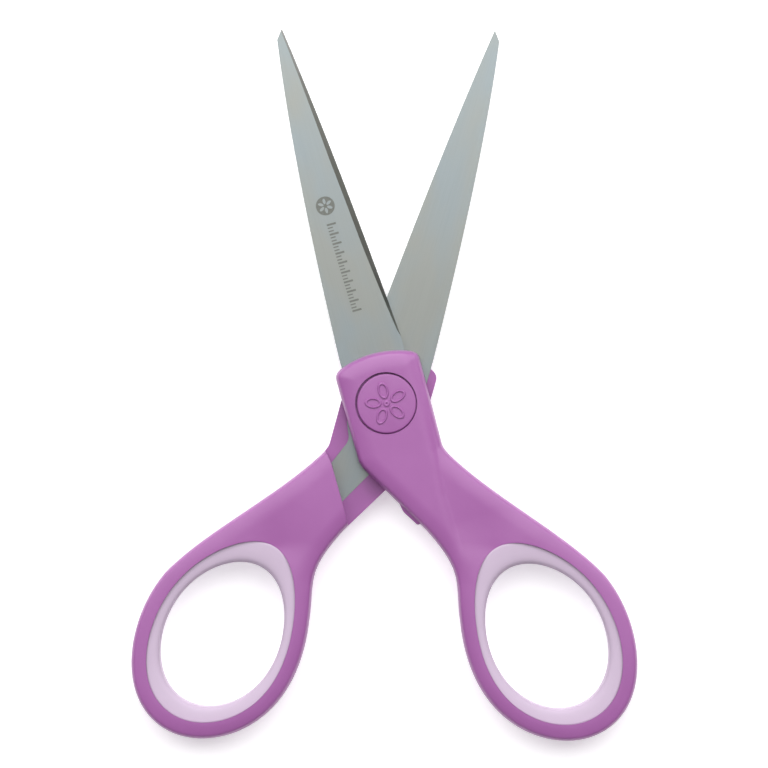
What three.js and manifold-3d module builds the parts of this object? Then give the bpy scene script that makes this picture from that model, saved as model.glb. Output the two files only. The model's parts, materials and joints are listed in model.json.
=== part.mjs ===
// Craft scissors with moulded handles, soft finger linings and a capped screw pivot.
// Millimetres, +Z up. The scissors lie flat: the pivot axis is Z, the blades point along +Y and the
// origin is where that axis meets the flat rear cap, which is also the surface that they lie on.
//
// Both halves have the same shape. It is drawn once, closed and seen from outside: pivot at (0, 0),
// blade along +Y, finger loop towards +X, and z measured outwards from the shear plane between the
// blades. The front half is that drawing turned by half of the opening angle. The rear half is the
// same drawing turned over about Y, then turned the other way.
import * as THREE from 'three';
import { mergeVertices } from 'three/addons/utils/BufferGeometryUtils.js';
import { ParametricGeometry } from 'three/addons/geometries/ParametricGeometry.js';
import Module from 'manifold-3d';

// ---- Driving dimensions ----
const HALF_THICKNESS = 4.5; // shear plane to either outer face
const REST_TURN = 15.9; // degrees that each half stands open
const GAP = 0.3; // around a piece that sits in a pocket
const FACE_GAP = 0.1; // between stacked flat faces
const INNER_FACE = 0.15; // the blades run 0.3 apart, so that each half starts here

const BLADE = {
  thickness: 1.5,
  tipY: 71.1,
  heelY: 11.1, // the ground edge ends here
  midY: 43.55,
  midX: 3.12, // the cutting edge is an arc over these three heights
  heelX: 5.88,
  spineX: -6.1,
  land: 0.1, // flat left along the cutting edge
  bevelWidth: 1.15,
  holeRadius: 2.15,
};

const COLLAR = { left: -7.65, right: 8.1, shoulderY: 6.5, crownY: 9.35, crownRadius: 18.5, corner: 1.5 };
const EDGE_ROUND = 1.2; // rounding of the handle's outer edges

// Egg-shaped rings of the finger loop: long and short half axes, how much the ring narrows at the top
// and how far its four corners stand out.
const LOOP_TILT = 12.6; // degrees that the loop leans towards the pivot
const CORNER_ANGLE = 75; // degrees from the ring's top to its first corner
const RIM = { x: 16.75, y: -48.3, long: 20.7, short: 15.0, narrowing: 0.087, squareness: 0.2 };
const SEAT = { x: 16.75, y: -48.1, long: 17.8, short: 12.2, narrowing: 0.12, squareness: 0.17 };
const HOLE = { x: 16.75, y: -48.75, long: 14.0, short: 10.5, narrowing: 0.048, squareness: 0.07 };
const RIM_RIGHT = 78; // degrees from the rim's top where the handle's two sides run into it
const RIM_LEFT = -64;

const CAP = { radius: 5.5, disc: 1.2, wall: 1.2, recess: 0.15, chamfer: 0.35 };
const SCREW = { shank: 2.0, head: 3.6, headHeight: 0.85, slotWidth: 0.9, slotDepth: 0.45 };
const WASHER = { inner: 2.2, outer: 3.9, thickness: 0.35 };
const PETALS = 5;

const BLADE_TOP = INNER_FACE + BLADE.thickness;
const CAP_CEILING = HALF_THICKNESS - CAP.recess - CAP.disc;

// ---- Materials ----
const finish = (color, roughness, metalness) => new THREE.MeshStandardMaterial({ color, roughness, metalness });
const steel = () => finish(0xa9b1b1, 0.35, 1.0);
const bright = () => finish(0xc4c7c9, 0.25, 1.0);
const purple = () => finish(0xb175b1, 0.45, 0.0);
const lavender = () => finish(0xd6c0da, 0.7, 0.0);
const nylon = () => finish(0xe8e6e0, 0.5, 0.0);

// ---- Solids ----
const wasm = await Module();
wasm.setup();

// A closed geometry as a manifold solid. Triangles that merging made flat are left out.
function solid(geometry) {
  const bare = geometry.clone();
  bare.deleteAttribute('normal');
  bare.deleteAttribute('uv');
  const merged = mergeVertices(bare, 1e-4);
  const index = merged.index.array;
  const corners = [];
  for (let i = 0; i < index.length; i += 3) {
    const [a, b, c] = [index[i], index[i + 1], index[i + 2]];
    if (a !== b && b !== c && c !== a) corners.push(a, b, c);
  }
  const vertProperties = new Float32Array(merged.attributes.position.array);
  return new wasm.Manifold(new wasm.Mesh({ numProp: 3, vertProperties, triVerts: new Uint32Array(corners) }));
}

function geometryOf(body) {
  const mesh = body.getMesh();
  const geometry = new THREE.BufferGeometry();
  geometry.setAttribute('position', new THREE.BufferAttribute(mesh.vertProperties, mesh.numProp));
  geometry.setIndex(new THREE.BufferAttribute(mesh.triVerts, 1));
  const flat = geometry.toNonIndexed();
  flat.computeVertexNormals();
  return flat;
}

// A flat shape raised from z = low to z = high, with an optional rounded or widened outline.
function prism(shape, low, high, { round = 0, widen = 0, steps = 1, curveSegments = 12 } = {}) {
  const lip = round || widen;
  const geometry = new THREE.ExtrudeGeometry(shape, {
    depth: high - low - 2 * round,
    curveSegments,
    bevelEnabled: lip > 0,
    bevelThickness: lip,
    bevelSize: lip,
    bevelOffset: -round,
    bevelSegments: steps,
  });
  geometry.translate(0, 0, low + round);
  return solid(geometry);
}

function disc(radius, low, high, segments = 32) {
  const geometry = new THREE.CylinderGeometry(radius, radius, high - low, segments);
  geometry.rotateX(Math.PI / 2);
  geometry.translate(0, 0, (low + high) / 2);
  return solid(geometry);
}

// A solid turned about Z from [radius, z] corners.
function turned(profile) {
  const corners = profile.map(([radius, z]) => new THREE.Vector2(radius, z));
  return new THREE.LatheGeometry(corners, 32).rotateX(Math.PI / 2);
}

// ---- Finger loop ----
// A point on an egg, by its angle clockwise from the top; grow moves it outwards.
function eggPoint({ x, y, long, short, narrowing, squareness }, degrees, grow = 0) {
  const angle = THREE.MathUtils.degToRad(degrees);
  const out = grow + squareness * Math.cos(4 * (angle - THREE.MathUtils.degToRad(CORNER_ANGLE)));
  const along = Math.cos(angle) * (long + out);
  const across = Math.sin(angle) * (short * (1 - narrowing * Math.cos(angle)) + out);
  const point = new THREE.Vector2(across, along);
  point.rotateAround(new THREE.Vector2(), THREE.MathUtils.degToRad(LOOP_TILT));
  return point.add(new THREE.Vector2(x, y));
}

function eggArc(egg, from, to, steps, grow = 0) {
  const points = [];
  for (let i = 0; i <= steps; i += 1) {
    points.push(eggPoint(egg, THREE.MathUtils.lerp(from, to, i / steps), grow));
  }
  return points;
}

// ---- Handle ----
// Outline of the whole handle from outside: collar, right side, rim of the finger loop, left side.
function handleShape() {
  const { left, right, shoulderY, crownY, crownRadius, corner } = COLLAR;
  const crown = (x) => crownY - crownRadius + Math.sqrt(crownRadius ** 2 - x ** 2);
  const shape = new THREE.Shape();
  shape.moveTo(left, shoulderY);
  shape.quadraticCurveTo(left, crown(left), left + corner, crown(left + corner));
  shape.quadraticCurveTo(0, 2 * crownY - crown(right - corner), right - corner, crown(right - corner));
  shape.quadraticCurveTo(right, crown(right), right, shoulderY);
  shape.lineTo(7.85, -10.3);
  shape.lineTo(8.35, -11.6);
  const [joinRight, joinLeft] = [eggPoint(RIM, RIM_RIGHT), eggPoint(RIM, RIM_LEFT)];
  shape.bezierCurveTo(14.05, -21.6, 25.35, -31.9, joinRight.x, joinRight.y);
  for (const point of eggArc(RIM, RIM_RIGHT, 360 + RIM_LEFT, 44).slice(1, -1)) shape.lineTo(point.x, point.y);
  shape.lineTo(joinLeft.x, joinLeft.y);
  shape.bezierCurveTo(3.3, -34.9, 5.6, -33.9, 0.85, -24.3);
  shape.lineTo(-4.3, -15.4);
  shape.quadraticCurveTo(-6.5, -11.8, -7.3, -10.2);
  shape.lineTo(left, -9.0);
  shape.closePath();
  return shape;
}

// Everything towards the pivot from the slanted step where the handle goes from half to full thickness.
function stepRegion() {
  const region = new THREE.Shape();
  region.moveTo(8.8, -10.9);
  region.lineTo(7.55, -12.15);
  region.lineTo(6.4, -13.5);
  region.lineTo(2.67, -19.5);
  region.lineTo(-1.5, -26.6);
  region.lineTo(-14, -20);
  region.lineTo(-14, 14);
  region.lineTo(14, 14);
  region.lineTo(14, -10.9);
  region.closePath();
  return region;
}

// The small block on the front handle that meets the rear handle's step when the blades close.
function stopBlock() {
  const block = new THREE.Shape();
  block.moveTo(-2.58, -18.24);
  block.lineTo(-2.3, -19.95);
  block.lineTo(-0.45, -22.95);
  block.lineTo(0.09, -22.97);
  block.lineTo(2.0, -21.8);
  block.lineTo(-0.5, -17.2);
  block.closePath();
  return prism(block, INNER_FACE, INNER_FACE + 2.4, { curveSegments: 1 });
}

function handleBody(withStop) {
  let body = prism(handleShape(), -HALF_THICKNESS, HALF_THICKNESS, { round: EDGE_ROUND, steps: 3 });
  body = body.subtract(prism(stepRegion(), -HALF_THICKNESS - 1, INNER_FACE));
  if (withStop) body = body.add(stopBlock());
  const seat = new THREE.Shape(eggArc(SEAT, 0, 360, 56, GAP / 2).slice(0, -1));
  body = body.subtract(prism(seat, -HALF_THICKNESS - 1, HALF_THICKNESS + 1));
  body = body.subtract(prism(bladeShape(), INNER_FACE, BLADE_TOP, { widen: GAP, curveSegments: 16 }));
  return body.subtract(disc(CAP.radius + GAP, BLADE_TOP, HALF_THICKNESS + 1, 48));
}

// Soft ring: its section is a wedge, wide where it lines the rim and narrow at the finger hole.
function gripLining() {
  const section = [
    [1, -3.6], [1, 3.6], [0.8, 3.45], [0.35, 2.6], [0.1, 1.7], [0, 0.8],
    [0, -0.8], [0.1, -1.7], [0.35, -2.6], [0.8, -3.45],
  ];
  const around = 56;
  const place = (u, v, target) => {
    const [outward, z] = section[Math.round(v * section.length) % section.length];
    const degrees = -360 * ((Math.round(u * around) % around) / around);
    const point = eggPoint(HOLE, degrees).lerp(eggPoint(SEAT, degrees, -GAP / 2), outward);
    target.set(point.x, point.y, z);
  };
  return geometryOf(solid(new ParametricGeometry(place, around, section.length)));
}

// ---- Blade ----
// Outline of the blade and, below the pivot, the tang that the handle is moulded round.
function bladeShape() {
  const { tipY, heelY, midY, midX, heelX, spineX } = BLADE;
  const shape = new THREE.Shape();
  const [controlX, controlY] = [2 * midX - heelX / 2, 2 * midY - (heelY + tipY) / 2];
  shape.moveTo(0, tipY);
  shape.quadraticCurveTo(controlX, controlY, heelX, heelY);
  shape.lineTo(heelX + 0.05, -5.2);
  shape.lineTo(5.1, -7.2);
  shape.quadraticCurveTo(4.4, -8.4, 5.2, -9.9);
  shape.lineTo(10.6, -23.6);
  shape.quadraticCurveTo(11.6, -26.2, 8.6, -26.6);
  shape.lineTo(6.5, -26.5);
  shape.lineTo(-6.0, -3.7);
  shape.lineTo(spineX, -3.0);
  shape.lineTo(spineX, 10);
  shape.quadraticCurveTo(-4.75, 46.5, -1.4, 69.3);
  return shape;
}

// Height along the cutting edge as a share from heel to tip, and the edge's x there.
function edgeX(share) {
  const controlX = 2 * BLADE.midX - BLADE.heelX / 2;
  return (1 - share) ** 2 * BLADE.heelX + 2 * share * (1 - share) * controlX;
}

function edgeY(share) {
  const controlY = 2 * BLADE.midY - (BLADE.heelY + BLADE.tipY) / 2;
  return (1 - share) ** 2 * BLADE.heelY + 2 * share * (1 - share) * controlY + share ** 2 * BLADE.tipY;
}

// The wedge that grinding takes off the outer face, widest in the middle of the edge.
function grindingWedge() {
  const stations = 20;
  const overshoot = 0.06;
  const reach = 2.5;
  const place = (u, v, target) => {
    const share = THREE.MathUtils.lerp(-overshoot, 1 + overshoot, u);
    const width = BLADE.bevelWidth * Math.sin(Math.PI * THREE.MathUtils.clamp(0.02 + 0.86 * share, 0, 1)) ** 0.8;
    const slope = (width - 0.05) / (BLADE.thickness - BLADE.land);
    const bottom = INNER_FACE + BLADE.land;
    const top = BLADE_TOP + 0.4;
    const ends = u === 0 || u === 1;
    const corners = [
      [0.05, bottom],
      [reach, bottom],
      [reach, top],
      [0.05 - slope * (top - bottom), top],
    ];
    const [offset, z] = ends ? [reach, top] : corners[Math.round(v * 4) % 4];
    target.set(edgeX(share) + offset, edgeY(share), z);
  };
  return solid(new ParametricGeometry(place, stations, 4));
}

function bladeBody() {
  const plate = prism(bladeShape(), INNER_FACE, BLADE_TOP, { curveSegments: 16 });
  const bored = plate.subtract(disc(BLADE.holeRadius, INNER_FACE - 1, BLADE_TOP + 1));
  return geometryOf(bored.subtract(grindingWedge()));
}

// ---- Pivot ----
// A cap that fills the collar's hole: a disc with a skirt that stands round the screw head or nut.
function capGeometry(recess) {
  const { radius, wall, chamfer } = CAP;
  const face = HALF_THICKNESS - recess;
  return turned([
    [0, CAP_CEILING],
    [radius - wall, CAP_CEILING],
    [radius - wall, BLADE_TOP + FACE_GAP],
    [radius, BLADE_TOP + FACE_GAP],
    [radius, face - chamfer],
    [radius - chamfer, face],
    [0, face],
  ]);
}

// Raised flower on the front cap.
function flowerCap() {
  let body = solid(capGeometry(CAP.recess));
  const [low, high] = [HALF_THICKNESS - CAP.recess - 0.4, HALF_THICKNESS];
  for (let i = 0; i < PETALS; i += 1) {
    const angle = (2 * Math.PI * i) / PETALS + Math.PI / 2;
    const petal = new THREE.Shape();
    petal.absellipse(2.05 * Math.cos(angle), 2.05 * Math.sin(angle), 1.15, 0.75, 0, 2 * Math.PI, false, angle);
    body = body.add(prism(petal, low, high, { curveSegments: 8 }));
  }
  return geometryOf(body.add(disc(0.6, low, high, 16)));
}

function washerGeometry() {
  const [low, high] = [BLADE_TOP + FACE_GAP, BLADE_TOP + FACE_GAP + WASHER.thickness];
  return turned([[WASHER.inner, low], [WASHER.outer, low], [WASHER.outer, high], [WASHER.inner, high],
    [WASHER.inner, low]]);
}

const HEAD_LOW = BLADE_TOP + 2 * FACE_GAP + WASHER.thickness;

// Screw from the front, through both blades, into the nut.
function screwBody() {
  const top = HEAD_LOW + SCREW.headHeight;
  const slot = new THREE.BoxGeometry(3 * SCREW.head, SCREW.slotWidth, SCREW.slotDepth + 1);
  slot.translate(0, 0, top + (1 - SCREW.slotDepth) / 2);
  const body = solid(turned([
    [0, -top], [SCREW.shank - 0.25, -top], [SCREW.shank, 0.25 - top], [SCREW.shank, HEAD_LOW],
    [SCREW.head, HEAD_LOW], [SCREW.head, top - 0.25], [SCREW.head - 0.25, top], [0, top],
  ]));
  return geometryOf(body.subtract(solid(slot)));
}

function nutBody() {
  const top = HEAD_LOW + SCREW.headHeight;
  return geometryOf(disc(SCREW.head, HEAD_LOW, top, 6).subtract(disc(BLADE.holeRadius, HEAD_LOW - 1, top + 1)));
}

// ---- Assembly ----
const part = new THREE.Group();

function addMesh(parent, name, geometry, material) {
  const mesh = new THREE.Mesh(geometry, material);
  mesh.name = name;
  parent.add(mesh);
}

// A half's group: turned by its opening angle, and turned over when it is the rear one.
function addHalf(isFront) {
  const opened = new THREE.Group();
  opened.position.z = HALF_THICKNESS;
  opened.rotation.z = THREE.MathUtils.degToRad(isFront ? REST_TURN : -REST_TURN);
  const half = new THREE.Group();
  half.rotation.y = isFront ? 0 : Math.PI;
  opened.add(half);
  part.add(opened);
  return half;
}

for (const side of ['front', 'rear']) {
  const isFront = side === 'front';
  const half = addHalf(isFront);
  addMesh(half, `${side}_blade`, bladeBody(), steel());
  addMesh(half, `${side}_handle`, geometryOf(handleBody(isFront)), purple());
  addMesh(half, `${side}_grip_lining`, gripLining(), lavender());
  addMesh(half, `${side}_washer`, washerGeometry(), nylon());
  addMesh(half, `${side}_pivot_cap`, isFront ? flowerCap() : capGeometry(0), purple());
  addMesh(half, isFront ? 'pivot_screw' : 'pivot_nut', isFront ? screwBody() : nutBody(), bright());
}

export default part;
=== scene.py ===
"""The looks of a pair of small craft scissors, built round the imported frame.

Both halves of the scissors are one design. Every piece is modelled once in the half drawing: millimetres,
pivot at the origin, blade along +Y, finger loop towards +X, z outwards from the plane where the blades
shear. Side.placement() then turns the piece into its half, front or rear, in metres.
"""
import json
import logging
import math
from dataclasses import dataclass, field
from enum import Enum

import bmesh
import bpy
import numpy as np
from mathutils import Matrix, Vector


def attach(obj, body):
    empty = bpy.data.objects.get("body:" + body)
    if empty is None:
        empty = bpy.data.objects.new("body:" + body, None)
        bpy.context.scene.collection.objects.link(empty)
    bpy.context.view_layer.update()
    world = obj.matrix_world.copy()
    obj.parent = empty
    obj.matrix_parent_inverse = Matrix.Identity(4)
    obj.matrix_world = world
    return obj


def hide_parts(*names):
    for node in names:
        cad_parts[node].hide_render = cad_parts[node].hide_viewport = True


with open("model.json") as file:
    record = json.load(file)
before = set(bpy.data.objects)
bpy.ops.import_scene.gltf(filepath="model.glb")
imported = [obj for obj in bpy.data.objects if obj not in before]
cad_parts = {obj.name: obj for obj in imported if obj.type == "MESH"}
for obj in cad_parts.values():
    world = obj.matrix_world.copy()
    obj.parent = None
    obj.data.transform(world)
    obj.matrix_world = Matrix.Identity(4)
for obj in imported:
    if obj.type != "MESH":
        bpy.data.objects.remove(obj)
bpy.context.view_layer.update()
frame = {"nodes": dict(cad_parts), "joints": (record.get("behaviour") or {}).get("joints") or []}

LOG = logging.getLogger("craft_scissors")

MM = 0.001
PIVOT = frame["joints"][0]
REST_TURN = -math.radians(PIVOT["range_deg"][0]) / 2  # each half stands open by half the closing travel
SHEAR_PLANE = PIVOT["pos_m"][2]
HALF_THICKNESS = SHEAR_PLANE / MM
PAST = HALF_THICKNESS + 1.0  # well outside either face, for tools that cut right through
INNER_FACE = 0.15  # where each half's blade starts, outwards from the shear plane
BLADE_TOP = INNER_FACE + 1.5
HAIR = 0.01  # tells two heights or places apart, and sinks one piece into another
MERGED = 1e-4  # corners closer than this are one


class Side(Enum):
    """One of the two halves that the pivot joins."""

    FRONT = "front"
    REAR = "rear"

    @property
    def body(self) -> str:
        """The CAD body that this half's pieces ride on."""
        return f"{self.value}_half"

    @property
    def turn(self) -> float:
        """The half's turn about the pivot at rest, in radians."""
        return REST_TURN if self is Side.FRONT else -REST_TURN

    def placement(self) -> Matrix:
        """Places the half's drawing at rest.

        Returns:
            The matrix from the half drawing in millimetres to the frame in metres.
        """
        over = Matrix.Rotation(0.0 if self is Side.FRONT else math.pi, 4, "Y")
        lift = Matrix.Translation((0.0, 0.0, SHEAR_PLANE))
        return lift @ Matrix.Rotation(self.turn, 4, "Z") @ over @ Matrix.Scale(MM, 4)


# --- Outlines ---
@dataclass(frozen=True)
class Egg:
    """An egg-shaped ring of the finger loop.

    Attributes:
        x: centre.
        y: centre.
        long: half axis along the loop.
        short: half axis across the loop.
        narrowing: how much narrower the ring is at its top, as a share.
        squareness: how far the ring's four corners stand out.
        corner: degrees from the top to the first corner.
        lean: degrees that the top leans towards the pivot.
    """

    x: float
    y: float
    long: float
    short: float
    narrowing: float
    squareness: float
    corner: float = 75.0
    lean: float = 12.6

    def point(self, degrees: float) -> Vector:
        """A point of the ring.

        Args:
            degrees: angle clockwise from the top.

        Returns:
            The point in the half drawing.
        """
        angle = math.radians(degrees)
        out = self.squareness * math.cos(4 * (angle - math.radians(self.corner)))
        along = math.cos(angle) * (self.long + out)
        across = math.sin(angle) * (self.short * (1 - self.narrowing * math.cos(angle)) + out)
        lean = math.radians(self.lean)
        turned = Vector((
            across * math.cos(lean) - along * math.sin(lean),
            across * math.sin(lean) + along * math.cos(lean),
        ))
        return turned + Vector((self.x, self.y))


@dataclass
class Outline:
    """A closed flat outline, drawn with lines, curves and stretches of eggs."""

    points: list[Vector] = field(default_factory=list)

    def line(self, *corners: tuple[float, float]) -> "Outline":
        """Adds straight stretches to each corner in turn and returns the outline."""
        self.points += [Vector(corner) for corner in corners]
        return self

    def curve(self, *handles: tuple[float, float], steps: int) -> "Outline":
        """Adds a Bezier curve from the last point.

        Args:
            handles: the control points, the last of them the curve's end.
            steps: how many straight pieces stand for the curve.

        Returns:
            The outline itself.
        """
        control = [self.points[-1]] + [Vector(handle) for handle in handles]
        for step in range(1, steps + 1):
            level = list(control)
            while len(level) > 1:
                level = [a.lerp(b, step / steps) for a, b in zip(level, level[1:])]
            self.points.append(level[0])
        return self

    def egg(self, ring: Egg, start: float, end: float, steps: int) -> "Outline":
        """Adds the stretch of an egg between two angles.

        Args:
            ring: the egg.
            start: where the stretch starts, in degrees clockwise from the egg's top.
            end: where it ends.
            steps: how many straight pieces stand for it.

        Returns:
            The outline itself.
        """
        for step in range(steps + 1):
            self.points.append(ring.point(start + (end - start) * step / steps))
        return self

    def grown(self, distance: float) -> "Outline":
        """Moves the outline, drawn clockwise, outwards by a small distance.

        Args:
            distance: how far it is moved.

        Returns:
            A new outline.
        """
        count = len(self.points)
        moved = []
        for i, point in enumerate(self.points):
            run = (self.points[(i + 1) % count] - self.points[i - 1]).normalized()
            moved.append(point + distance * Vector((-run.y, run.x)))
        return Outline(moved)

    def distances(self, places: np.ndarray) -> np.ndarray:
        """How far each place is from the closed outline.

        Args:
            places: an array of x, y rows.

        Returns:
            One distance for each row.
        """
        corners = np.array(self.points)
        nearest = np.full(len(places), np.inf)
        for start, end in zip(corners, np.roll(corners, -1, axis=0)):
            run = end - start
            length = float(run @ run)
            if length == 0.0:
                continue
            share = np.clip((places - start) @ run / length, 0.0, 1.0)
            nearest = np.minimum(nearest, np.hypot(*(places - start - share[:, None] * run).T))
        return nearest


# --- Mesh helpers ---
def prism(outline: Outline, low: float, high: float) -> bmesh.types.BMesh:
    """Raises a flat outline between two heights.

    Args:
        outline: the outline.
        low: height of the bottom.
        high: height of the top.

    Returns:
        A closed mesh.
    """
    bm = bmesh.new()
    corners = []
    for point in outline.points:
        if not corners or (corners[-1].co.xy - point).length > MERGED:
            corners.append(bm.verts.new((point.x, point.y, low)))
    if (corners[-1].co - corners[0].co).length < MERGED:
        bm.verts.remove(corners.pop())
    bm.faces.new(corners)
    raised = bmesh.ops.extrude_face_region(bm, geom=bm.faces[:])["geom"]
    top = [item for item in raised if isinstance(item, bmesh.types.BMVert)]
    bmesh.ops.translate(bm, verts=top, vec=(0.0, 0.0, high - low))
    bmesh.ops.recalc_face_normals(bm, faces=bm.faces[:])
    return bm


def turned(profile: list[tuple[float, float]], steps: int = 96) -> bmesh.types.BMesh:
    """Spins a profile about Z.

    Args:
        profile: pairs of radius and height, from axis to axis or closed on itself.
        steps: how many stations stand round the axis.

    Returns:
        A closed mesh.
    """
    bm = bmesh.new()
    corners = [bm.verts.new((radius, 0.0, height)) for radius, height in profile]
    edges = [bm.edges.new(pair) for pair in zip(corners, corners[1:])]
    if profile[0][0] > 0.0:
        edges.append(bm.edges.new((corners[-1], corners[0])))
    bmesh.ops.spin(
        bm, geom=corners + edges, cent=(0, 0, 0), axis=(0, 0, 1), angle=math.tau, steps=steps, use_merge=True
    )
    bmesh.ops.remove_doubles(bm, verts=bm.verts[:], dist=MERGED)
    bmesh.ops.recalc_face_normals(bm, faces=bm.faces[:])
    return bm


def as_object(bm: bmesh.types.BMesh, name: str) -> bpy.types.Object:
    """Makes a linked object of a bmesh.

    Args:
        bm: the bmesh, which is used up.
        name: the object's name.

    Returns:
        The new object.
    """
    mesh = bpy.data.meshes.new(name)
    bm.to_mesh(mesh)
    bm.free()
    piece = bpy.data.objects.new(name, mesh)
    bpy.context.scene.collection.objects.link(piece)
    return piece


def apply_modifiers(piece: bpy.types.Object) -> None:
    """Puts the result of a piece's modifiers into its mesh.

    Args:
        piece: the piece, whose mesh changes.
    """
    graph = bpy.context.evaluated_depsgraph_get()
    result = bpy.data.meshes.new_from_object(piece.evaluated_get(graph))
    piece.modifiers.clear()
    spent = piece.data
    piece.data = result
    bpy.data.meshes.remove(spent)


def combine(piece: bpy.types.Object, tool: bmesh.types.BMesh, how: str = "DIFFERENCE") -> None:
    """Cuts or joins a piece with a tool, which is used up.

    Args:
        piece: the piece, whose mesh changes.
        tool: the tool's closed mesh.
        how: DIFFERENCE or UNION.
    """
    tool_object = as_object(tool, "tool")
    cut = piece.modifiers.new("cut", "BOOLEAN")
    cut.operation = how
    cut.solver = "EXACT"
    cut.object = tool_object
    apply_modifiers(piece)
    spent = tool_object.data
    bpy.data.objects.remove(tool_object)
    bpy.data.meshes.remove(spent)


def seat(
    piece: bpy.types.Object, side: Side, sharp: float, material: bpy.types.Material | None = None
) -> None:
    """Places a finished piece in its half and shades it smooth up to an angle.

    Args:
        piece: the piece, still in the half drawing.
        side: the half that it belongs to.
        sharp: edges steeper than this many degrees stay sharp.
        material: the piece's finish, where it doesn't have it yet.
    """
    if material:
        piece.data.materials.clear()
        piece.data.materials.append(material)
    piece.data.transform(side.placement())
    piece.data.shade_smooth()
    piece.data.set_sharp_from_angle(angle=math.radians(sharp))
    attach(piece, side.body)


# --- Finishes ---
def linear(code: str) -> tuple[float, float, float, float]:
    """Turns an sRGB hex colour into linear light.

    Args:
        code: the colour, as #RRGGBB.

    Returns:
        Red, green, blue and full alpha.
    """
    channels = [int(code.lstrip("#")[i : i + 2], 16) / 255 for i in (0, 2, 4)]
    parts = [c / 12.92 if c <= 0.04045 else ((c + 0.055) / 1.055) ** 2.4 for c in channels]
    return parts[0], parts[1], parts[2], 1.0


def feed(tree: bpy.types.NodeTree, node: bpy.types.Node, sockets: dict) -> None:
    """Sets a node's inputs.

    Args:
        tree: the node tree.
        node: the node.
        sockets: input socket by name or number, with its value or the output socket that feeds it.
    """
    for key, value in sockets.items():
        if isinstance(value, bpy.types.NodeSocket):
            tree.links.new(value, node.inputs[key])
        else:
            node.inputs[key].default_value = value


def add(
    tree: bpy.types.NodeTree,
    kind: str,
    sockets: dict | None = None,
    stops: tuple[tuple[float, str], ...] = (),
    **settings: object,
) -> bpy.types.Node:
    """Adds a node with its settings and links.

    Args:
        tree: the node tree.
        kind: the node's type name.
        sockets: the node's inputs, as feed takes them.
        stops: on a colour ramp, its two pairs of place and hex colour, or more.
        settings: the node's own properties.

    Returns:
        The new node.
    """
    node = tree.nodes.new(kind)
    for name, value in settings.items():
        setattr(node, name, value)
    for number, (place, code) in enumerate(stops):
        elements = node.color_ramp.elements
        element = elements[number] if number < len(elements) else elements.new(1.0)
        element.position = place
        element.color = linear(code)
    feed(tree, node, sockets or {})
    return node


def new_material(name: str) -> tuple[bpy.types.Material, bpy.types.NodeTree, bpy.types.Node]:
    """Makes a material with nothing but its shader and output.

    Args:
        name: the material's name.

    Returns:
        The material, its tree and its Principled shader.
    """
    material = bpy.data.materials.new(name)
    material.use_nodes = True
    tree = material.node_tree
    tree.nodes.clear()
    shader = add(tree, "ShaderNodeBsdfPrincipled")
    add(tree, "ShaderNodeOutputMaterial", {"Surface": shader.outputs["BSDF"]})
    return material, tree, shader


def object_place(
    tree: bpy.types.NodeTree, turn: float = 0.0, stretch: tuple[float, float, float] = (1.0, 1.0, 1.0)
) -> bpy.types.NodeSocket:
    """Adds Object coordinates in millimetres, turned about Z and stretched along each axis.

    Args:
        tree: the node tree.
        turn: radians that the pattern is turned about Z.
        stretch: millimetres to one step of the pattern, along each axis.

    Returns:
        The coordinates.
    """
    coordinates = add(tree, "ShaderNodeTexCoord")
    turned_back = add(
        tree, "ShaderNodeMapping", {"Vector": coordinates.outputs["Object"], "Rotation": (0.0, 0.0, -turn)}
    )
    scale = tuple(1.0 / (MM * s) for s in stretch)
    scaled = add(tree, "ShaderNodeMapping", {"Vector": turned_back.outputs["Vector"], "Scale": scale})
    return scaled.outputs["Vector"]


@dataclass(frozen=True)
class OrchidAbs:
    """Injection-moulded ABS from a spark-eroded mould: satin, with a fine even grain and soft highlights."""

    name: str = "orchid_abs_spark_eroded"
    deep: str = "#935593"
    body: str = "#955795"
    pale: str = "#975997"
    roughness: float = 0.40
    ior: float = 1.53
    grain_mm: float = 0.35  # real spark grain is about 0.05 mm; coarser so that it shows
    grain_depth_mm: float = 0.02
    flow_mm: float = 9.0  # how far the pigment drifts with the melt

    def build(self) -> bpy.types.Material:
        """Makes the material.

        Returns:
            The material.
        """
        material, tree, shader = new_material(self.name)
        place = object_place(tree)
        flow = add(tree, "ShaderNodeTexNoise", {"Vector": place, "Scale": 1 / self.flow_mm, "Detail": 3.0})
        grain = add(tree, "ShaderNodeTexNoise", {"Vector": place, "Scale": 1 / self.grain_mm, "Detail": 2.0})
        stops = ((0.3, self.deep), (0.5, self.body), (0.7, self.pale))
        tint = add(tree, "ShaderNodeValToRGB", {"Fac": flow.outputs["Fac"]}, stops)
        rough = add(
            tree,
            "ShaderNodeMapRange",
            {"Value": grain.outputs["Fac"], "To Min": self.roughness - 0.06, "To Max": self.roughness + 0.08},
        )
        bump = add(
            tree,
            "ShaderNodeBump",
            {"Strength": 0.25, "Distance": self.grain_depth_mm * MM, "Height": grain.outputs["Fac"]},
        )
        feed(tree, shader, {
            "Base Color": tint.outputs["Color"],
            "Roughness": rough.outputs["Result"],
            "IOR": self.ior,
            "Normal": bump.outputs["Normal"],
        })
        return material


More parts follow.
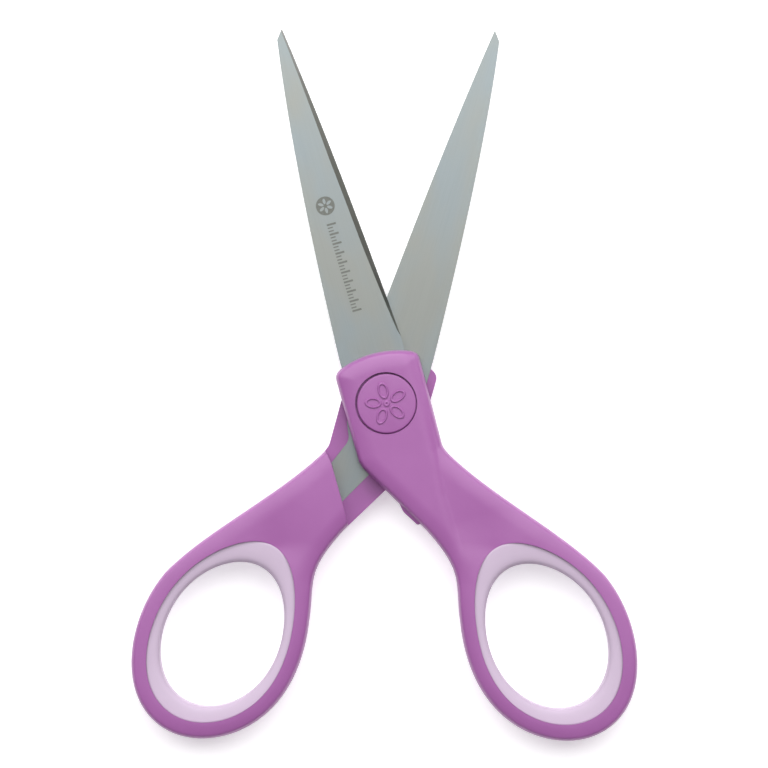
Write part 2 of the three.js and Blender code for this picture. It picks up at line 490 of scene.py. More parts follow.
@dataclass(frozen=True)
class LavenderTpr:
    """Thermoplastic rubber moulded into the loop: matt, soft to the touch, with a faint powdery sheen."""

    name: str = "lavender_tpr_overmoulded"
    body: str = "#BDABC0"
    shade: str = "#BAA8BD"
    roughness: float = 0.62
    ior: float = 1.48
    sheen: float = 0.15
    grain_mm: float = 0.45  # the soft-touch grain, drawn coarse enough to show
    grain_depth_mm: float = 0.03
    drift_mm: float = 7.0  # how far the tint drifts

    def build(self) -> bpy.types.Material:
        """Makes the material.

        Returns:
            The material.
        """
        material, tree, shader = new_material(self.name)
        place = object_place(tree)
        drift = add(tree, "ShaderNodeTexNoise", {"Vector": place, "Scale": 1 / self.drift_mm, "Detail": 2.0})
        grain = add(tree, "ShaderNodeTexNoise", {"Vector": place, "Scale": 1 / self.grain_mm, "Detail": 3.0})
        stops = ((0.3, self.shade), (0.7, self.body))
        tint = add(tree, "ShaderNodeValToRGB", {"Fac": drift.outputs["Fac"]}, stops)
        bump = add(
            tree,
            "ShaderNodeBump",
            {"Strength": 0.3, "Distance": self.grain_depth_mm * MM, "Height": grain.outputs["Fac"]},
        )
        feed(tree, shader, {
            "Base Color": tint.outputs["Color"],
            "Roughness": self.roughness,
            "IOR": self.ior,
            "Sheen Weight": self.sheen,
            "Normal": bump.outputs["Normal"],
        })
        return material


@dataclass(frozen=True)
class GroundSteel:
    """Stainless strip with a hard grey titanium skin, satin ground: cool and even, with fine lines.

    Attributes:
        name: the material's name.
        turn: the turn of the blade at rest, which the lines follow, in radians.
        cool: colour where the skin is thickest.
        warm: colour near the edges, where grinding thinned it.
        roughness: of the satin grind.
        line_mm: spacing of the lines; real ones are about 0.05 mm, wider here so that they show.
        line_run_mm: how long a line is.
        line_depth_mm: how deep it is.
        cloud_mm: how far the skin's thickness drifts, across, along and through the blade.
        across: True where the lines cross the blade, as on a ground edge.
    """

    name: str
    turn: float
    cool: str = "#8A9294"
    warm: str = "#8E918D"
    roughness: float = 0.34
    line_mm: float = 0.22
    line_run_mm: float = 14.0
    line_depth_mm: float = 0.01
    cloud_mm: tuple[float, float, float] = (7.0, 16.0, 7.0)
    across: bool = False

    def build(self) -> bpy.types.Material:
        """Makes the material.

        Returns:
            The material.
        """
        material, tree, shader = new_material(self.name)
        run = (self.line_run_mm, self.line_mm) if self.across else (self.line_mm, self.line_run_mm)
        line_place = object_place(tree, self.turn, (*run, self.line_mm))
        lines = add(tree, "ShaderNodeTexNoise", {"Vector": line_place, "Scale": 1.0, "Detail": 3.0})
        cloud_place = object_place(tree, self.turn, self.cloud_mm)
        clouds = add(tree, "ShaderNodeTexNoise", {"Vector": cloud_place, "Scale": 1.0, "Detail": 2.0})
        stops = ((0.35, self.cool), (0.65, self.warm))
        tint = add(tree, "ShaderNodeValToRGB", {"Fac": clouds.outputs["Fac"]}, stops)
        streak = add(
            tree, "ShaderNodeMapRange", {"Value": lines.outputs["Fac"], "To Min": 0.955, "To Max": 1.045}
        )
        shaded = add(
            tree,
            "ShaderNodeMix",
            {0: 1.0, 6: tint.outputs["Color"], 7: streak.outputs["Result"]},
            data_type="RGBA",
            blend_type="MULTIPLY",
        )
        rough = add(
            tree,
            "ShaderNodeMapRange",
            {"Value": lines.outputs["Fac"], "To Min": self.roughness - 0.05, "To Max": self.roughness + 0.05},
        )
        bump = add(
            tree,
            "ShaderNodeBump",
            {"Strength": 0.12, "Distance": self.line_depth_mm * MM, "Height": lines.outputs["Fac"]},
        )
        feed(tree, shader, {
            "Base Color": shaded.outputs[2],
            "Metallic": 1.0,
            "Roughness": rough.outputs["Result"],
            "Normal": bump.outputs["Normal"],
        })
        return material


@dataclass(frozen=True)
class PlainFinish:
    """A small hidden part's finish: a base colour mottled by fine noise, as turning or moulding leaves it."""

    name: str
    body: str
    mottle: str
    metallic: float
    roughness: float
    mottle_mm: float = 0.6

    def build(self) -> bpy.types.Material:
        """Makes the material.

        Returns:
            The material.
        """
        material, tree, shader = new_material(self.name)
        place = object_place(tree)
        noise = add(tree, "ShaderNodeTexNoise", {"Vector": place, "Scale": 1 / self.mottle_mm, "Detail": 3.0})
        stops = ((0.35, self.mottle), (0.65, self.body))
        tint = add(tree, "ShaderNodeValToRGB", {"Fac": noise.outputs["Fac"]}, stops)
        feed(tree, shader, {
            "Base Color": tint.outputs["Color"],
            "Metallic": self.metallic,
            "Roughness": self.roughness,
        })
        return material


class Paintbox:
    """The finishes of the scissors, each made once."""

    def __init__(self) -> None:
        """Makes every material."""
        self.handle = OrchidAbs().build()
        self.lining = LavenderTpr().build()
        self.blade = {
            side: GroundSteel(f"titanium_skin_steel_{side.value}", side.turn).build() for side in Side
        }
        # The ground face's darker grey is painted shade: it stands for the darker side light that the steep
        # face reflects. Its cross-grind lines are real.
        self.edge = {
            side: GroundSteel(
                f"ground_edge_painted_shade_{side.value}",
                side.turn,
                cool="#53544E",
                warm="#5C5C57",
                roughness=0.42,
                line_mm=0.25,
                line_run_mm=3.0,
                across=True,
            ).build()
            for side in Side
        }
        # Laser annealing leaves a dark, matt oxide.
        self.etching = PlainFinish("laser_annealed_oxide", "#6E706B", "#666863", 0.4, 0.6, 0.3).build()
        self.pivot_steel = PlainFinish("turned_zinc_plated_steel", "#C9CCCF", "#BDC0C2", 1.0, 0.28).build()
        self.nylon = PlainFinish("natural_nylon_moulded", "#E8E6E0", "#DEDBD3", 0.0, 0.5).build()


# --- Handle ---
RIM = Egg(16.75, -48.3, 20.7, 15.0, 0.087, 0.2)
SEAT = Egg(16.75, -48.1, 17.8, 12.2, 0.12, 0.17)
HOLE = Egg(16.75, -48.75, 14.0, 10.5, 0.048, 0.07)


def smoothstep(low: float, high: float, values: np.ndarray) -> np.ndarray:
    """Rises smoothly from 0 at low to 1 at high."""
    share = np.clip((values - low) / (high - low), 0.0, 1.0)
    return share * share * (3 - 2 * share)


def fading(distance: np.ndarray, width: float | np.ndarray) -> np.ndarray:
    """Falls from 1 at no distance to 0 at the width, flattening out as it goes."""
    return np.clip(1.0 - distance / width, 0.0, None) ** 2


def rounding(distance: np.ndarray, width: float, height: float) -> np.ndarray:
    """How far an elliptical rounded edge lies below its face, at each distance from the edge."""
    inset = np.clip(1.0 - distance / width, 0.0, 1.0)
    return height * (1.0 - np.sqrt(1.0 - inset**2))


@dataclass
class Handle:
    """A moulded handle: a collar round the pivot, a neck and the rim of the finger loop.

    Attributes:
        side: the half that it belongs to.
        left: the collar's left side.
        right: the collar's right side.
        crown_y: the highest point of the collar's arched end.
        crown_radius: the radius of that arch.
        corner: how far the collar's corners are cut round.
        edge_width: how wide the rounding of the outer edges is, seen from above.
        edge_height: how tall it is, seen from the side.
        slope_depth: how far the faces fall towards the outer edges, beyond the rounding.
        slope_width: over what width they fall.
        slope_lean: how much more they fall on the loop's inner side, as a share.
        seat_depth: how far the faces fall towards the soft lining.
        seat_width: over what width they fall.
        seat_walls: plastic narrower than the first doesn't fall that way, and from the second it does fully.
        ledge_depth: how far the pad that carries on the collar falls to the neck beside it.
        ledge_width: over what width it falls.
        core: height of the middle layer, which stays as it is when the faces are moulded.
        voxel: cell size of the moulded skin.
        shoulder: height along the collar's sides where its corners begin.
        stop_height: how far the stop block stands outwards.
        stop_soft: rounding of the block's edges.
        pocket_gap: room round the blade in its pocket.
        bore_floor: height where the pivot's bore starts.
        shelf: height of the shelf in the bore that the cap's head stands on.
        shelf_inset: how far the shelf reaches under the head.
        bore_gap: room round the cap's head.
        bore_flare: size of the bevel round the bore's mouth.
    """

    side: Side
    left: float = -7.65
    right: float = 8.1
    crown_y: float = 9.35
    crown_radius: float = 18.5
    corner: float = 1.5
    edge_width: float = 0.55
    edge_height: float = 1.9
    slope_depth: float = 0.55
    slope_width: float = 3.4
    slope_lean: float = 0.45
    seat_depth: float = 0.6
    seat_width: float = 12.0
    seat_walls: tuple[float, float] = (3.0, 9.0)
    ledge_depth: float = 0.55
    ledge_width: float = 1.9
    core: float = 0.6
    voxel: float = 0.21
    shoulder: float = 6.5
    stop_height: float = 2.4
    stop_soft: float = 0.25
    pocket_gap: float = 0.03
    bore_floor: float = 0.5
    shelf: float = 3.4
    shelf_inset: float = 0.08
    bore_gap: float = 0.22
    bore_flare: float = 0.16

    def crown(self, x: float) -> float:
        """Height of the collar's arched end over a place across it."""
        return self.crown_y - self.crown_radius + math.sqrt(self.crown_radius**2 - x**2)

    def outline(self) -> Outline:
        """Draws the handle from outside, clockwise from the collar's left shoulder.

        Returns:
            The closed outline.
        """
        crown = self.crown
        west, east = self.left + self.corner, self.right - self.corner
        rim_start, rim_end = 78, 296
        join = RIM.point(rim_start)
        drawn = Outline().line((self.left, self.shoulder))
        drawn.curve((self.left, crown(self.left)), (west, crown(west)), steps=8)
        drawn.curve((0.0, 2 * self.crown_y - crown(east)), (east, crown(east)), steps=24)
        drawn.curve((self.right, crown(self.right)), (self.right, self.shoulder), steps=8)
        drawn.line((7.85, -10.3), (8.35, -11.6))
        drawn.curve((14.05, -21.6), (25.35, -31.9), (join.x, join.y), steps=32)
        drawn.egg(RIM, rim_start, rim_end, 90)
        drawn.curve((3.3, -34.9), (5.6, -33.9), (0.85, -24.3), steps=24)
        drawn.line((-4.3, -15.4))
        drawn.curve((-6.5, -11.8), (-7.3, -10.2), steps=8)
        return drawn.line((self.left, -9.0))

    @staticmethod
    def step_region() -> Outline:
        """Everything towards the pivot from the slanted step, where the handle is only half as thick."""
        return Outline().line(
            (8.8, -10.9), (7.55, -12.15), (6.4, -13.5), (2.67, -19.5), (-1.5, -26.6),
            (-14, -20), (-14, 14), (14, 14), (14, -10.9),
        )

    @staticmethod
    def stop_block() -> Outline:
        """The block that meets the other handle's step when the blades close."""
        return Outline().line(
            (-2.58, -18.24), (-2.3, -19.95), (-0.45, -22.95), (0.09, -22.97), (2.0, -21.8), (-0.5, -17.2)
        )

    def ledge(self, places: np.ndarray) -> np.ndarray:
        """How deep the outer face lies: the pad falls to a line, beyond which the neck slowly rises.

        Args:
            places: an array of x, y rows.

        Returns:
            One depth for each row.
        """
        line_y = np.array([-27.0, -19.0, -14.6, -9.6, -4.0, 8.0])
        line_x = np.array([6.15, 6.0, 6.3, 6.7, 6.9, 6.8])
        short = np.interp(places[:, 1], line_y, line_x) - places[:, 0]
        fall = np.clip(1.0 - short / self.ledge_width, 0.0, 1.0) ** 2
        along = smoothstep(-32.0, -24.0, places[:, 1]) * (1.0 - 0.5 * smoothstep(-10.0, 0.0, places[:, 1]))
        rise = 1.0 - 0.45 * smoothstep(0.0, 7.0, -short)
        return self.ledge_depth * fall * rise * along

    def crowned(self, mesh: bpy.types.Mesh) -> None:
        """Gives the flat-sided blank its moulded faces, by moving each vertex along z.

        Args:
            mesh: the blank, which changes.
        """
        flat = np.empty(len(mesh.vertices) * 3)
        mesh.vertices.foreach_get("co", flat)
        place = flat.reshape(-1, 3)
        flats = place[:, :2]
        edge = self.outline().distances(flats)
        lining = Outline().egg(SEAT, 0, 360, 120).distances(flats)
        wall = edge + lining
        drop = rounding(edge, self.edge_width, self.edge_height)
        # The loop's inner side, towards the other handle, falls more than its outer side.
        lean = 1.0 - self.slope_lean * np.clip((place[:, 0] - RIM.x) / RIM.short, -1.0, 1.0)
        drop += lean * self.slope_depth * fading(edge, np.minimum(self.slope_width, wall))
        drop += self.seat_depth * smoothstep(*self.seat_walls, wall) * fading(lining, self.seat_width)
        drop += np.where(place[:, 2] > 0, self.ledge(flats), 0.0)
        height = np.abs(place[:, 2])
        share = np.clip((height - self.core) / (HALF_THICKNESS - self.core), 0.0, None)
        lowered = self.core + share * (HALF_THICKNESS - self.core - drop)
        place[:, 2] = np.where(height > self.core, np.sign(place[:, 2]) * lowered, place[:, 2])
        mesh.vertices.foreach_set("co", place.ravel())
        mesh.update()

    def moulded(self) -> bpy.types.Object:
        """Moulds the handle without its cuts: a blank, its even skin and its soft faces.

        Returns:
            The piece, still in the half drawing.
        """
        blank = prism(self.outline(), -HALF_THICKNESS, HALF_THICKNESS)
        piece = as_object(blank, f"{self.side.value}_handle_moulding")
        skin = piece.modifiers.new("skin", "REMESH")
        skin.mode = "VOXEL"
        skin.voxel_size = self.voxel
        apply_modifiers(piece)
        self.crowned(piece.data)
        bm = bmesh.new()
        bm.from_mesh(piece.data)
        for _ in range(2):
            bmesh.ops.smooth_vert(
                bm, verts=bm.verts[:], factor=0.5, use_axis_x=True, use_axis_y=True, use_axis_z=True
            )
        bm.to_mesh(piece.data)
        bm.free()
        return piece

    def stop(self) -> bmesh.types.BMesh:
        """Raises the stop block and softens its edges.

        Returns:
            A closed mesh.
        """
        block = prism(self.stop_block(), INNER_FACE + HAIR, INNER_FACE + self.stop_height)
        edges = block.edges[:]
        bmesh.ops.bevel(
            block, geom=edges, offset=self.stop_soft, segments=3, affect="EDGES", profile=0.5, material=-1
        )
        return block

    def bore(self) -> bmesh.types.BMesh:
        """Spins the cap's hole: the head stands on a shelf, and the skirt goes down the narrower part.

        Returns:
            The hole as a closed mesh.
        """
        narrow, wide, flare = Cap.radius - self.shelf_inset, Cap.radius + self.bore_gap, self.bore_flare
        lower = [(0.0, self.bore_floor), (narrow, self.bore_floor), (narrow, self.shelf)]
        mouth = [(wide, self.shelf), (wide, HALF_THICKNESS - flare), (wide + 2 * flare, PAST), (0.0, PAST)]
        return turned(lower + mouth)

    def build(self, paint: Paintbox) -> bpy.types.Object:
        """Moulds the handle and makes the crisp cuts for the other half, the rubber, the steel and the cap.

        Args:
            paint: the finishes.

        Returns:
            The finished handle.
        """
        piece = self.moulded()
        combine(piece, prism(self.step_region(), -PAST, INNER_FACE))
        if self.side is Side.FRONT:
            combine(piece, self.stop(), "UNION")
        combine(piece, prism(Outline().egg(SEAT, 0, 360, 160), -PAST, PAST))
        pocket = Blade(self.side).outline().grown(self.pocket_gap)
        combine(piece, prism(pocket, 0.0, BLADE_TOP + self.pocket_gap))
        combine(piece, self.bore())
        seat(piece, self.side, 38, paint.handle)
        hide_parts(f"{self.side.value}_handle")
        return piece


@dataclass
class GripLining:
    """The soft ring inside the finger loop: a funnel from each face to the finger hole.

    Attributes:
        side: the half that it belongs to.
        section: share of the way from the hole to the rim, and height, for half of the section.
        around: how many stations stand round the ring.
    """

    side: Side
    section: tuple[tuple[float, float], ...] = (
        (0.997, 3.98), (0.98, 4.02), (0.9, 4.01), (0.7, 3.96), (0.5, 3.89), (0.32, 3.79), (0.2, 3.68),
        (0.11, 3.51), (0.05, 3.27), (0.015, 2.92), (0.0, 2.4), (0.0, 0.6),
    )
    around: int = 144

    def build(self, paint: Paintbox) -> bpy.types.Object:
        """Bridges one ring of vertices to the next all round the section.

        Args:
            paint: the finishes.

        Returns:
            The finished lining.
        """
        bm = bmesh.new()
        whole = [*self.section, *[(share, -height) for share, height in reversed(self.section)]]
        rings = []
        for share, height in whole:
            ring = bmesh.ops.create_circle(bm, segments=self.around, radius=1.0)["verts"]
            for step, vert in enumerate(ring):
                degrees = 360 * step / self.around
                place = HOLE.point(degrees).lerp(SEAT.point(degrees), share)
                vert.co = (place.x, place.y, height)
            rings.append([edge for edge in bm.edges if edge.verts[0] in ring and edge.verts[1] in ring])
        for ring, following in zip(rings, rings[1:] + rings[:1]):
            bmesh.ops.bridge_loops(bm, edges=ring + following)
        bmesh.ops.recalc_face_normals(bm, faces=bm.faces[:])
        piece = as_object(bm, f"{self.side.value}_grip_ring")
        seat(piece, self.side, 50, paint.lining)
        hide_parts(f"{self.side.value}_grip_lining")
        return piece


# --- Blade ---
@dataclass
class Blade:
    """A ground blade with its tang.

    Attributes:
        side: the half that it belongs to.
        tip_y: how far the point is from the pivot.
        heel: where the ground edge ends, on the cutting side.
        land: height of the flat left along the cutting edge.
        tip_bevel: width of the ground face at the point.
        full_bevel: its width along most of the edge.
        bore: radius of the hole for the pivot.
    """

    side: Side
    tip_y: float = 71.1
    heel: tuple[float, float] = (5.88, 11.1)
    land: float = 0.08
    tip_bevel: float = 0.32
    full_bevel: float = 0.95
    bore: float = 2.15

    def outline(self) -> Outline:
        """Draws the blade from outside, clockwise from the tip, with the cutting edge first.

        Returns:
            The closed outline.
        """
        drawn = Outline().line((0.0, self.tip_y))
        drawn.curve((3.3, 46.0), self.heel, steps=64)
        drawn.line((5.93, -5.2), (5.1, -7.2))
        drawn.curve((4.4, -8.4), (5.2, -9.9), steps=8)
        drawn.line((10.6, -23.6))
        drawn.curve((11.6, -26.2), (8.6, -26.6), steps=8)
        drawn.line((6.5, -26.5), (-6.0, -3.7), (-6.1, -3.0), (-6.1, 10.0))
        return drawn.curve((-4.75, 46.5), (-1.4, 69.3), steps=40)

    def on_edge(self, vert: bmesh.types.BMVert) -> bool:
        """Whether a vertex is on the cutting edge, from the heel to the tip."""
        return vert.co.x > -HAIR and vert.co.y > self.heel[1] - HAIR

    def bevel(self, y: float) -> float:
        """How wide the ground face is: narrow at the tip, fading out at the heel.

        Args:
            y: the place along the blade.

        Returns:
            The width.
        """
        share = (self.tip_y - y) / (self.tip_y - self.heel[1])
        widening = min(self.tip_bevel + 1.5 * share, self.full_bevel)
        return widening * math.sqrt(min(1.0, max(0.0, 3.3 * (1 - share))))

    def ground(self) -> bmesh.types.BMesh:
        """Raises the outline and draws the top of the cutting edge back, which leaves the ground face.

        Returns:
            The closed mesh, its ground face on the second material.
        """
        bm = prism(self.outline(), INNER_FACE, BLADE_TOP)
        bmesh.ops.bisect_plane(
            bm,
            geom=bm.verts[:] + bm.edges[:] + bm.faces[:],
            plane_co=(0, 0, INNER_FACE + self.land),
            plane_no=(0, 0, 1),
        )
        # The ground face gets the second material, whose darker grey is painted shade.
        for face in bm.faces:
            above = face.calc_center_median().z > INNER_FACE + self.land
            face.material_index = 1 if above and all(self.on_edge(vert) for vert in face.verts) else 0
        for vert in bm.verts:
            if vert.co.z < BLADE_TOP - HAIR or not self.on_edge(vert):
                continue
            if vert.co.y > self.tip_y - HAIR:
                # The very point goes back between the edge and the slanted tip.
                vert.co += 1.4 * self.tip_bevel * Vector((-0.614, -0.789, 0.0))
            else:
                vert.co.x -= self.bevel(vert.co.y)
        return bm

    def build(self, paint: Paintbox) -> bpy.types.Object:
        """Grinds the blade, bores it for the pivot and gives the ground face its own steel, darkened with
        painted shade.

        Args:
            paint: the finishes.

        Returns:
            The finished blade.
        """
        piece = as_object(self.ground(), f"{self.side.value}_ground_blade")
        piece.data.materials.append(paint.blade[self.side])
        piece.data.materials.append(paint.edge[self.side])
        combine(piece, turned([(0.0, -1.0), (self.bore, -1.0), (self.bore, 3.0), (0.0, 3.0)], 48))
        seat(piece, self.side, 20)
        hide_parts(f"{self.side.value}_blade")
        return piece


@dataclass
class Etching:
    """Generic marks on the front blade: a flower in a roundel and a row of ruler ticks.

    Attributes:
        roundel: centre of the roundel.
        radius: its radius.
        petals: how many petals are cut out of it.
        petal_size: half of a petal's width and length.
        petal_place: how far its middle is from the roundel's.
        marks: how many long ticks follow it, with two short ones after each but the last.
        pitch: spacing of the long ticks.
        long_tick: length and width of a long tick.
        short_tick: the same of a short one.
        first_tick: where the first tick starts, x and y.
        drift: how far the ticks' starts move to the right, per millimetre.
        depth: how far the dark oxide stands over the steel.
    """

    roundel: tuple[float, float] = (-1.04, 37.7)
    radius: float = 1.73
    petals: int = 6
    petal_size: tuple[float, float] = (0.26, 0.52)
    petal_place: float = 0.85
    marks: int = 10
    pitch: float = 1.82
    long_tick: tuple[float, float] = (1.7, 0.36)
    short_tick: tuple[float, float] = (0.95, 0.24)
    first_tick: tuple[float, float] = (-1.72, 34.2)
    drift: float = 0.019
    depth: float = 0.012

    def petal(self, angle: float) -> bmesh.types.BMesh:
        """A petal-shaped hole for the roundel.

        Args:
            angle: radians that it is turned from the roundel's top.

        Returns:
            A closed mesh.
        """
        bm = bmesh.new()
        bmesh.ops.create_uvsphere(bm, u_segments=20, v_segments=10, radius=1.0)
        bmesh.ops.scale(bm, verts=bm.verts[:], vec=(*self.petal_size, 1.0))
        bmesh.ops.translate(bm, verts=bm.verts[:], vec=(0.0, self.petal_place, BLADE_TOP))
        bmesh.ops.rotate(bm, verts=bm.verts[:], cent=(0, 0, 0), matrix=Matrix.Rotation(angle, 3, "Z"))
        bmesh.ops.translate(bm, verts=bm.verts[:], vec=(*self.roundel, 0.0))
        return bm

    def build(self, paint: Paintbox) -> bpy.types.Object:
        """Makes the roundel, cuts the flower out of it and adds the ticks.

        Args:
            paint: the finishes.

        Returns:
            The finished marks.
        """
        low, high = BLADE_TOP - HAIR, BLADE_TOP + self.depth
        bm = bmesh.new()
        bmesh.ops.create_cone(
            bm, cap_ends=True, segments=64, radius1=self.radius, radius2=self.radius, depth=high - low
        )
        bmesh.ops.translate(bm, verts=bm.verts[:], vec=(*self.roundel, (low + high) / 2))
        piece = as_object(bm, "front_blade_marks")
        for step in range(self.petals):
            combine(piece, self.petal(math.tau * step / self.petals))
        ruler = bmesh.new()
        ruler.from_mesh(piece.data)
        start_x, start_y = self.first_tick
        for tick in range(3 * (self.marks - 1) + 1):
            size = self.long_tick if tick % 3 == 0 else self.short_tick
            y = start_y - self.pitch * tick / 3
            left = start_x + self.drift * (start_y - y)
            made = bmesh.ops.create_cube(ruler, size=1.0)["verts"]
            bmesh.ops.scale(ruler, verts=made, vec=(*size, high - low))
            bmesh.ops.translate(ruler, verts=made, vec=(left + size[0] / 2, y, (low + high) / 2))
        ruler.to_mesh(piece.data)
        ruler.free()
        seat(piece, Side.FRONT, 35, paint.etching)
        return piece


# --- Pivot ---
@dataclass
class Cap:
    """A round plastic cap with a skirt, which fills the collar's hole.

    Attributes:
        side: the half that it belongs to.
        recess: how far its face lies below the collar's.
        radius: its radius.
        soft: rounding of its outer edge.
        play: how far it sits off the hole's centre.
        head_under: height of the head's underside, round the skirt.
        skirt_inset: how much narrower the skirt is than the head.
        skirt_end: height of the skirt's end.
        hollow: radius of the hollow in the skirt, and height of its ceiling.
        petals: how many petals the raised flower has.
        petal_reach: half of a petal's length.
        petal_slimness: its width as a share of its length.
        petal_place: how far its middle is from the cap's.
        eye: radius of the ring in the flower's middle.
        thick: half of the raised stroke's width.
    """

    side: Side
    recess: float = 0.15
    radius: float = 5.42
    soft: float = 0.3
    play: tuple[float, float] = (0.08, -0.09)
    head_under: float = 3.5
    skirt_inset: float = 0.22
    skirt_end: float = 1.75
    hollow: tuple[float, float] = (4.3, 3.15)
    petals: int = 5
    petal_reach: float = 1.6
    petal_slimness: float = 0.6
    petal_place: float = 2.45
    eye: float = 0.62
    thick: float = 0.28

    def profile(self) -> list[tuple[float, float]]:
        """Draws half of the cap's section, from the hollow's ceiling round the lip and back over the face.

        Returns:
            Pairs of radius and height.
        """
        face = HALF_THICKNESS - self.recess
        inner, ceiling = self.hollow
        skirt = self.radius - self.skirt_inset
        below = [(0.0, ceiling), (inner, ceiling), (inner, self.skirt_end), (skirt, self.skirt_end)]
        head = [(skirt, self.head_under), (self.radius, self.head_under)]
        lip = [
            (self.radius + self.soft * (math.sin(angle) - 1), face + self.soft * (math.cos(angle) - 1))
            for angle in (math.radians(degrees) for degrees in range(90, -1, -15))
        ]
        return [*below, *head, *lip, (0.0, face)]

    def build(self, paint: Paintbox) -> bpy.types.Object:
        """Spins the cap and, on the front one, raises the flower.

        Args:
            paint: the finishes.

        Returns:
            The finished cap.
        """
        piece = as_object(turned(self.profile(), 128), f"{self.side.value}_cap_moulding")
        if self.side is Side.FRONT:
            for step in range(self.petals):
                combine(piece, self.petal(math.tau * step / self.petals), "UNION")
            combine(piece, self.stroke(self.eye, 1.0), "UNION")
        piece.data.transform(Matrix.Translation((*self.play, 0.0)))
        seat(piece, self.side, 40, paint.handle)
        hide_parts(f"{self.side.value}_pivot_cap")
        return piece

    def stroke(self, reach: float, slimness: float) -> bmesh.types.BMesh:
        """A ring of raised stroke on the cap's face.

        Args:
            reach: half of the ring's length along y.
            slimness: its width as a share of its length.

        Returns:
            The ring, standing half out of the face.
        """
        thick = self.thick
        turns = [math.tau * step / 10 for step in range(10)]
        bm = turned([(reach - thick + thick * math.cos(a), 0.9 * thick * math.sin(a)) for a in turns], 40)
        bmesh.ops.scale(bm, verts=bm.verts[:], vec=(slimness, 1.0, 1.0))
        bmesh.ops.translate(bm, verts=bm.verts[:], vec=(0.0, 0.0, HALF_THICKNESS - self.recess))
        return bm

    def petal(self, angle: float) -> bmesh.types.BMesh:
        """A slim ring that points outwards from the cap's middle.

        Args:
            angle: radians that it is turned from the cap's top.

        Returns:
            A closed mesh.
        """
        bm = self.stroke(self.petal_reach, self.petal_slimness)
        bmesh.ops.translate(bm, verts=bm.verts[:], vec=(0.0, self.petal_place, 0.0))
        bmesh.ops.rotate(bm, verts=bm.verts[:], cent=(0, 0, 0), matrix=Matrix.Rotation(angle, 3, "Z"))
        return bm


@dataclass(frozen=True)
class PivotStack:
    """The hidden screw, nut and washers, which keep their CAD shapes.

    Attributes:
        steel: the nodes turned from steel.
        nylon: the nodes moulded in nylon.
    """

    steel: tuple[str, ...] = ("pivot_screw", "pivot_nut")
    nylon: tuple[str, ...] = ("front_washer", "rear_washer")

    def dress(self, paint: Paintbox) -> None:
        """Gives each node its finish.

        Args:
            paint: the finishes.
        """
        for nodes, material in ((self.steel, paint.pivot_steel), (self.nylon, paint.nylon)):
            for node in nodes:
                mesh = frame["nodes"][node].data
                mesh.materials.clear()
                mesh.materials.append(material)


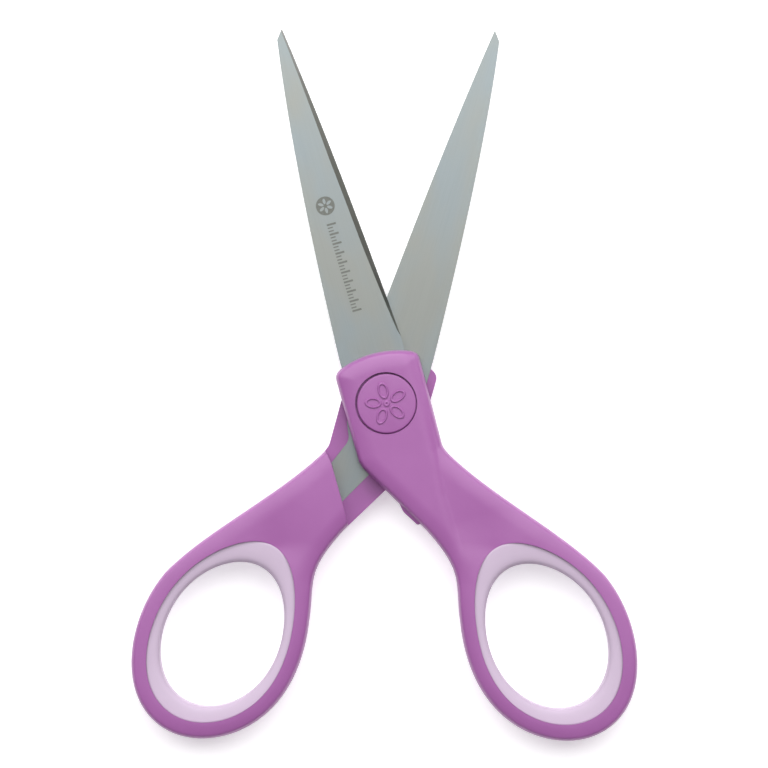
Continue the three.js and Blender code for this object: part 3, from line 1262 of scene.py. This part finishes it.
# --- Studio ---
@dataclass
class Studio:
    """A pale table under soft light, seen from straight above.

    Attributes:
        field_m: how much of the table the view covers.
        aim: where the middle of the view is, from the pivot.
        roll_deg: how far the scissors lie askew in the view.
        lens_mm: a long lens, which keeps the view nearly without perspective.
        sensor_mm: width of the camera's sensor.
        table_m: half of the table's width.
        table_gap: a hair between table and scissors, so that the two never share a plane.
        glow: how brightly the table is lit from beneath.
        sky_strength: how bright the even light from all round is.
    """

    field_m: float = 0.1405
    aim: tuple[float, float] = (-0.0004, 0.00351)
    roll_deg: float = 0.36
    lens_mm: float = 300.0
    sensor_mm: float = 36.0
    table_m: float = 3.0
    table_gap: float = 0.05
    glow: float = 0.4
    sky_strength: float = 0.32

    def build(self) -> None:
        """Makes the camera, the table and the lights."""
        self.camera()
        self.table()
        self.lamps()
        self.sky()

    def camera(self) -> None:
        """Looks straight down at the scissors."""
        data = bpy.data.cameras.new("overhead")
        data.lens = self.lens_mm
        data.sensor_width = self.sensor_mm
        data.clip_end = 20.0
        camera = bpy.data.objects.new("overhead", data)
        distance = self.field_m * self.lens_mm / self.sensor_mm
        camera.location = (*self.aim, SHEAR_PLANE + distance)
        camera.rotation_euler = (0.0, 0.0, math.radians(self.roll_deg))
        bpy.context.scene.collection.objects.link(camera)
        bpy.context.scene.camera = camera

    def table(self) -> None:
        """A wide pale floor that the scissors lie on, lit from beneath so that shadows stay faint."""
        bm = bmesh.new()
        bmesh.ops.create_grid(bm, x_segments=1, y_segments=1, size=self.table_m)
        bmesh.ops.translate(bm, verts=bm.verts[:], vec=(0.0, 0.0, -self.table_gap * MM))
        floor = as_object(bm, "pale_table")
        material, tree, shader = new_material("matt_white_laminate")
        noise = add(tree, "ShaderNodeTexNoise", {"Vector": object_place(tree), "Scale": 0.02, "Detail": 2.0})
        stops = ((0.3, "#F6F6F6"), (0.7, "#F9F9F9"))
        tint = add(tree, "ShaderNodeValToRGB", {"Fac": noise.outputs["Fac"]}, stops)
        feed(tree, shader, {
            "Base Color": tint.outputs["Color"],
            "Roughness": 0.8,
            "Emission Color": linear("#FFFFFF"),
            "Emission Strength": self.glow,
        })
        floor.data.materials.append(material)

    def lamps(self) -> None:
        """A wide soft panel beyond the tips and overhead, and a small lamp that draws the glints."""
        for name, place, size, watts in (
            ("panel", (0.0, 0.62, 0.85), (2.6, 1.3), 23.5),
            ("spark", (-0.08, 0.6, 0.5), (0.1, 0.1), 0.8),
        ):
            data = bpy.data.lights.new(name, "AREA")
            data.shape = "ELLIPSE"
            data.size, data.size_y = size
            data.energy = watts
            lamp = bpy.data.objects.new(name, data)
            lamp.location = place
            lamp.rotation_euler = (-Vector(place)).to_track_quat("-Z", "Y").to_euler()
            lamp.visible_camera = False
            bpy.context.scene.collection.objects.link(lamp)

    def sky(self) -> None:
        """Even white light from all round."""
        world = bpy.data.worlds.new("studio")
        world.use_nodes = True
        background = world.node_tree.nodes["Background"]
        feed(world.node_tree, background, {"Color": linear("#FFFFFF"), "Strength": self.sky_strength})
        bpy.context.scene.world = world
        bpy.context.scene.view_settings.view_transform = "Standard"


def main() -> None:
    """Builds the scissors, half by half, then the pivot's finishes and the studio."""
    logging.basicConfig(level=logging.INFO, format="%(message)s")
    Studio().build()
    paint = Paintbox()
    pieces = []
    for side in Side:
        pieces.append(Blade(side).build(paint))
        pieces.append(Handle(side).build(paint))
        pieces.append(GripLining(side).build(paint))
        pieces.append(Cap(side, recess=0.15 if side is Side.FRONT else 0.0).build(paint))
    pieces.append(Etching().build(paint))
    PivotStack().dress(paint)
    for piece in pieces:
        LOG.info("%s: %d faces", piece.name, len(piece.data.polygons))


if __name__ == "__main__":
    main()
